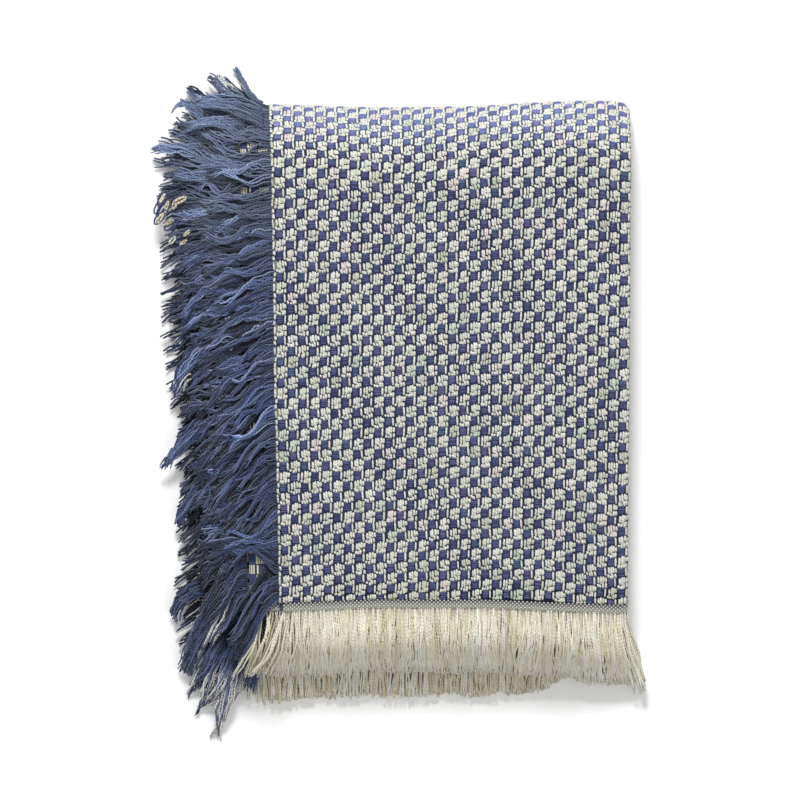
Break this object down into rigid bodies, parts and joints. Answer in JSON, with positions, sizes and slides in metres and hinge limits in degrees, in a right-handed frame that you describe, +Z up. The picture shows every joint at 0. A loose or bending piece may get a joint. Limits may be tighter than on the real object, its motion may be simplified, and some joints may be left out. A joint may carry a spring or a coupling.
{
  "type": "folded woven throw",
  "caption": "Woven throw folded into a flat rectangular pile, with a blue yarn fringe along one side and a cream one along the bottom.",
  "frame": {"origin": "the middle of the pile's bounding box, on the surface that it lies on", "axes": "+Z up from the surface, +Y towards the thick folded top edge, away from the cream fringe, +X towards the folded right side, away from the blue fringe"},
  "size_m": [0.4438, 0.5892, 0.057],
  "materials": {
    "woven_cloth": "matt blue and cream weave",
    "blue_yarn": "matt blue yarn",
    "cream_yarn": "matt cream yarn"
  },
  "bodies": {
    "root": {"woven_cloth": "woven_cloth", "side_fringe_over": "blue_yarn", "side_fringe_under": "blue_yarn", "end_fringe_over": "cream_yarn", "end_fringe_under": "cream_yarn"}
  },
  "joints": []
}
